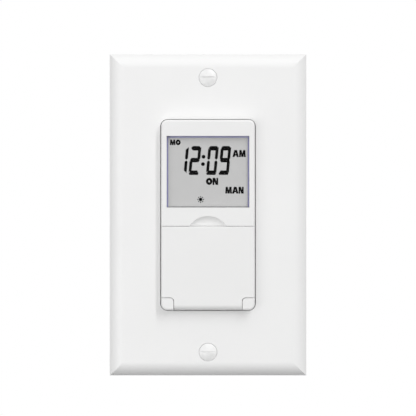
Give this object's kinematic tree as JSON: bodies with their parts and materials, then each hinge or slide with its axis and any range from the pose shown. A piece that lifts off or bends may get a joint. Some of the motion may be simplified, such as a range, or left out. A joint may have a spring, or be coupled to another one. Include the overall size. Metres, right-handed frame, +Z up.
{
  "type": "timer light switch",
  "caption": "In-wall digital timer switch: decorator wall plate, display, flip-down door over setting keys, steel strap and rear housing with screw terminals.",
  "frame": {"origin": "midway between the two box screws, in the plane of the finished wall", "axes": "+X to the right seen from the room, +Y into the wall, +Z up"},
  "size_m": [0.0698, 0.0392, 0.114],
  "materials": {
    "white_plastic": "satin",
    "white_screw": "satin",
    "strap_steel": "satin",
    "screw_steel": "satin",
    "fibre": "matte",
    "earth_green": "satin",
    "clear_plastic": "gloss",
    "polariser_film": "satin",
    "display_glass": "gloss",
    "reflector_foil": "satin",
    "holder_plastic": "matte",
    "zebra_rubber": "matte",
    "key_grey": "matte",
    "key_light": "matte",
    "dark_plastic": "matte",
    "board_green": "satin",
    "board_tan": "satin",
    "crystal_can": "gloss",
    "cell_steel": "gloss",
    "clip_metal": "satin",
    "relay_blue": "satin",
    "film_yellow": "satin",
    "can_sleeve": "satin",
    "varistor_blue": "satin",
    "resistor_coat": "satin",
    "housing_grey": "matte",
    "terminal_brass": "satin",
    "display_ink": "matte",
    "legend_ink": "matte",
    "window_rim": "satin"
  },
  "bodies": {
    "frame": {"wall_plate": "white_plastic", "plate_screws": "white_screw", "mounting_strap": "strap_steel", "box_screws": "screw_steel", "screw_washers": "fibre", "earth_screw": "earth_green", "bezel": "white_plastic", "display_window": "clear_plastic", "front_polariser": "polariser_film", "lcd_front_glass": "display_glass", "lcd_rear_glass": "display_glass", "rear_reflector": "reflector_foil", "lcd_holder": "holder_plastic", "zebra_strip": "zebra_rubber", "switch_bodies": "dark_plastic", "control_board": "board_green", "board_screws": "screw_steel", "microcontroller": "dark_plastic", "crystal": "crystal_can", "backup_cell": "cell_steel", "cell_clip": "clip_metal", "board_link": "dark_plastic", "power_board": "board_tan", "relay": "relay_blue", "film_capacitor": "film_yellow", "electrolytic_capacitor": "can_sleeve", "varistor": "varistor_blue", "fusible_resistor": "resistor_coat", "rear_housing": "housing_grey", "housing_screws": "screw_steel", "terminal_plates": "terminal_brass", "terminal_screws": "terminal_brass"},
    "key_on_off": {"key_on_off": "key_light", "plunger_on_off": "dark_plastic"},
    "key_program": {"key_program": "key_grey", "plunger_program": "dark_plastic"},
    "key_clock": {"key_clock": "key_grey", "plunger_clock": "dark_plastic"},
    "key_mode": {"key_mode": "key_grey", "plunger_mode": "dark_plastic"},
    "key_down": {"key_down": "key_grey", "plunger_down": "dark_plastic"},
    "key_up": {"key_up": "key_grey", "plunger_up": "dark_plastic"},
    "key_enter": {"key_enter": "key_grey", "plunger_enter": "dark_plastic"},
    "reset": {"reset_pin": "dark_plastic", "plunger_reset": "dark_plastic"},
    "door": {"door": "white_plastic"}
  },
  "joints": [
    {"name": "door_hinge", "type": "hinge", "parent": "frame", "child": "door", "pos_m": [0, -0.0073, -0.0315], "axis": [1, 0, 0], "range_deg": [0, 165]},
    {"name": "on_off_press", "type": "slide", "parent": "frame", "child": "key_on_off", "axis": [0, 1, 0], "range_m": [0, 0.0003], "stiffness_N_per_m": 3000},
    {"name": "program_press", "type": "slide", "parent": "frame", "child": "key_program", "axis": [0, 1, 0], "range_m": [0, 0.0003], "stiffness_N_per_m": 3000},
    {"name": "clock_press", "type": "slide", "parent": "frame", "child": "key_clock", "axis": [0, 1, 0], "range_m": [0, 0.0003], "stiffness_N_per_m": 3000},
    {"name": "mode_press", "type": "slide", "parent": "frame", "child": "key_mode", "axis": [0, 1, 0], "range_m": [0, 0.0003], "stiffness_N_per_m": 3000},
    {"name": "down_press", "type": "slide", "parent": "frame", "child": "key_down", "axis": [0, 1, 0], "range_m": [0, 0.0003], "stiffness_N_per_m": 3000},
    {"name": "up_press", "type": "slide", "parent": "frame", "child": "key_up", "axis": [0, 1, 0], "range_m": [0, 0.0003], "stiffness_N_per_m": 3000},
    {"name": "enter_press", "type": "slide", "parent": "frame", "child": "key_enter", "axis": [0, 1, 0], "range_m": [0, 0.0003], "stiffness_N_per_m": 3000},
    {"name": "reset_press", "type": "slide", "parent": "frame", "child": "reset", "axis": [0, 1, 0], "range_m": [0, 0.0003], "stiffness_N_per_m": 3000}
  ]
}
